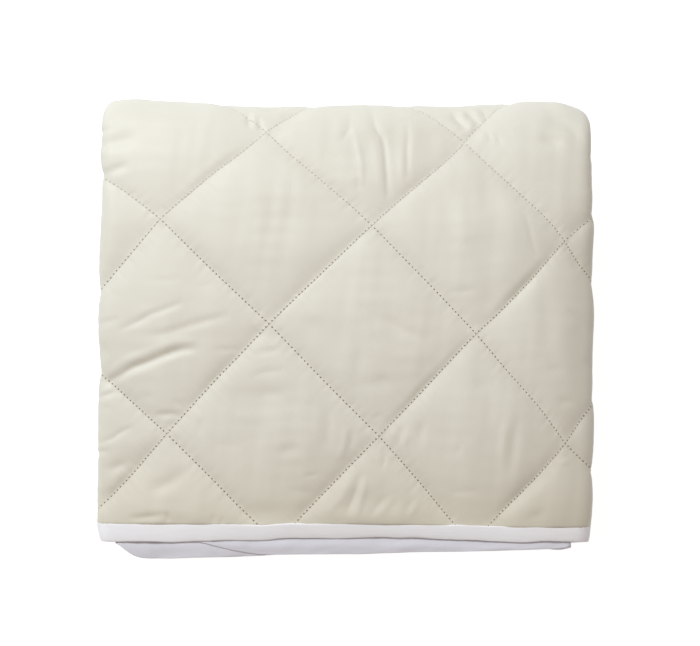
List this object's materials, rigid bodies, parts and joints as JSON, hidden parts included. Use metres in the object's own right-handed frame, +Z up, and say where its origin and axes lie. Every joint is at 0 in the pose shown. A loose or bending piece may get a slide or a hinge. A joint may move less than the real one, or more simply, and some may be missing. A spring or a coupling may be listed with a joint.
{
  "type": "wool mattress protector",
  "caption": "Folded wool mattress protector: a diamond-quilted pad with a bound edge, its sides turned under and its length folded back and forth into a flat bundle, its thin skirt tucked in.",
  "frame": {"origin": "middle of the underside of the folded bundle, on the surface that it rests on", "axes": "+X to the right across the bound front edge, +Y back from that edge to the folded back, +Z up through the stack"},
  "size_m": [0.4571, 0.4195, 0.1427],
  "materials": {
    "sateen": "cream cotton sateen, quilted, softly lustrous",
    "binding": "white woven cotton tape, matt",
    "skirt": "white thin stretch cotton, matt"
  },
  "bodies": {
    "root": {"quilt": "sateen", "binding": "binding", "skirt_front": "skirt", "skirt_back": "skirt"}
  },
  "joints": []
}
